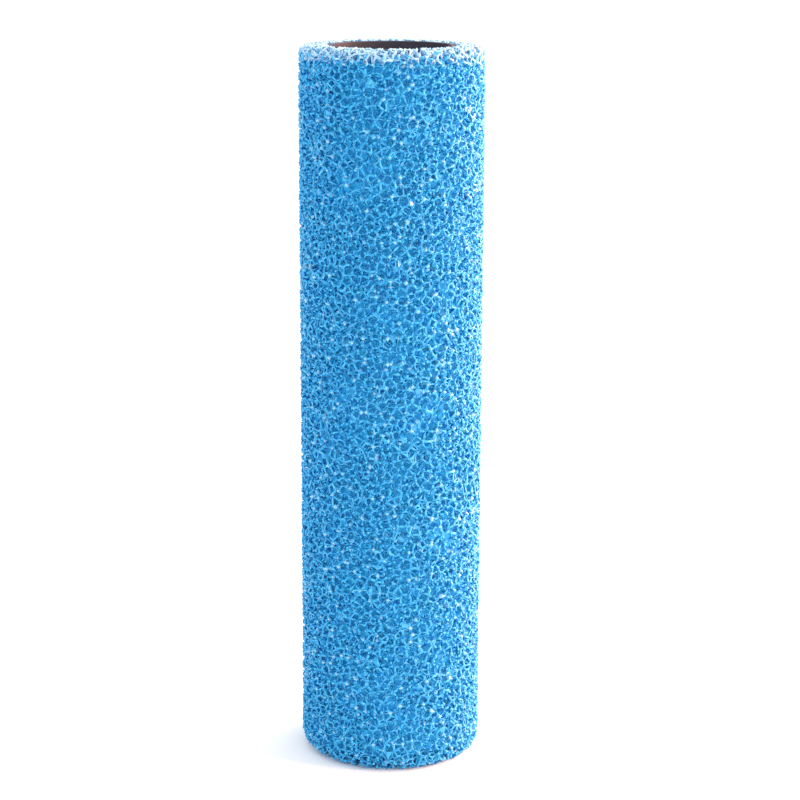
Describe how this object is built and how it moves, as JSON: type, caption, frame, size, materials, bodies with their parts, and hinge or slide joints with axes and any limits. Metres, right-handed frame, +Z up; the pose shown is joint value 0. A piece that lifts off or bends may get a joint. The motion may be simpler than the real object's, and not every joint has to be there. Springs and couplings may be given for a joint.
{
  "type": "sponge filter",
  "caption": "Tall cylindrical open-cell foam sleeve on a perforated core, with a sealed foot plug and a pipe gland in its mouth, standing on end.",
  "frame": {"origin": "centre of the foot, on the surface that the filter stands on", "axes": "+Z up along the bore, from the plugged foot to the open mouth"},
  "size_m": [0.0636, 0.0636, 0.2508],
  "materials": {
    "foam": "matte",
    "core": "matte",
    "rubber": "matte",
    "washer": "satin",
    "ballast": "brushed"
  },
  "bodies": {
    "core": {"core_section_1": "core", "core_section_2": "core", "core_section_3": "core", "core_section_4": "core", "outlet_head": "core", "pipe_seal": "rubber"},
    "sleeve": {"foam_sleeve": "foam"},
    "plug": {"foot_plug": "core", "foot_o_ring": "rubber", "ballast_disc": "ballast", "ballast_cover": "core"},
    "washer": {"slip_washer": "washer"},
    "nut": {"gland_nut": "core"}
  },
  "joints": [
    {"name": "sleeve_slide", "type": "slide", "parent": "core", "child": "sleeve", "axis": [0, 0, 1], "range_m": [0, 0.26]},
    {"name": "plug_slide", "type": "slide", "parent": "core", "child": "plug", "axis": [0, 0, -1], "range_m": [0, 0.016]},
    {"name": "gland_lift", "type": "slide", "parent": "core", "child": "washer", "axis": [0, 0, 1], "range_m": [0, 0.003]},
    {"name": "gland_turn", "type": "hinge", "parent": "washer", "child": "nut", "pos_m": [0, 0, 0.24], "axis": [0, 0, 1], "range_deg": [0, 360]}
  ],
  "couplings": [
    {"joint": "gland_lift", "follows": "gland_turn", "m_per_rad": 0.00047746}
  ]
}
